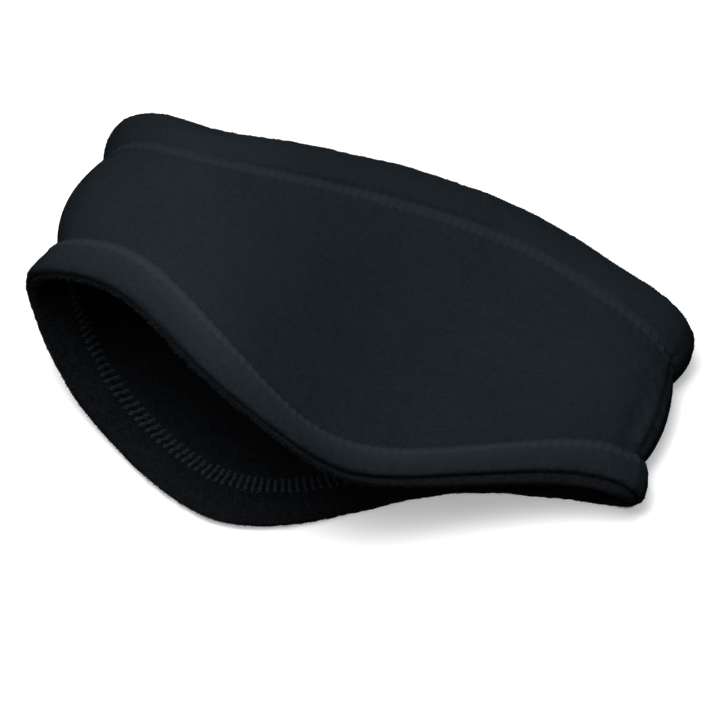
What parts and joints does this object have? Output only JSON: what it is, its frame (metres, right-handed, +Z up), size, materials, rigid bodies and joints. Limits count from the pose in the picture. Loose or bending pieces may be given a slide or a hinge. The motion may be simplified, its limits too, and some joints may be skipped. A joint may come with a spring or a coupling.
{
  "type": "fleece headband",
  "caption": "Contoured fleece ear band lying on its side: wide over the ear, narrow at front and back, soft turned hem along both edges, open through the loop.",
  "frame": {"origin": "centre of the bounding box of the band as it lies on its side, at the height of the surface under it", "axes": "+X along the flattened loop from the centre front towards the back seam, +Y from the neck edge towards the crown edge, +Z up from the surface it lies on"},
  "size_m": [0.2182, 0.1362, 0.084],
  "materials": {
    "shell_fleece": "matt brushed fleece, near black with a blue-grey cast",
    "lining_fleece": "matt brushed fleece, near black"
  },
  "bodies": {
    "root": {"outer_shell": "shell_fleece", "inner_lining": "lining_fleece"}
  },
  "joints": []
}
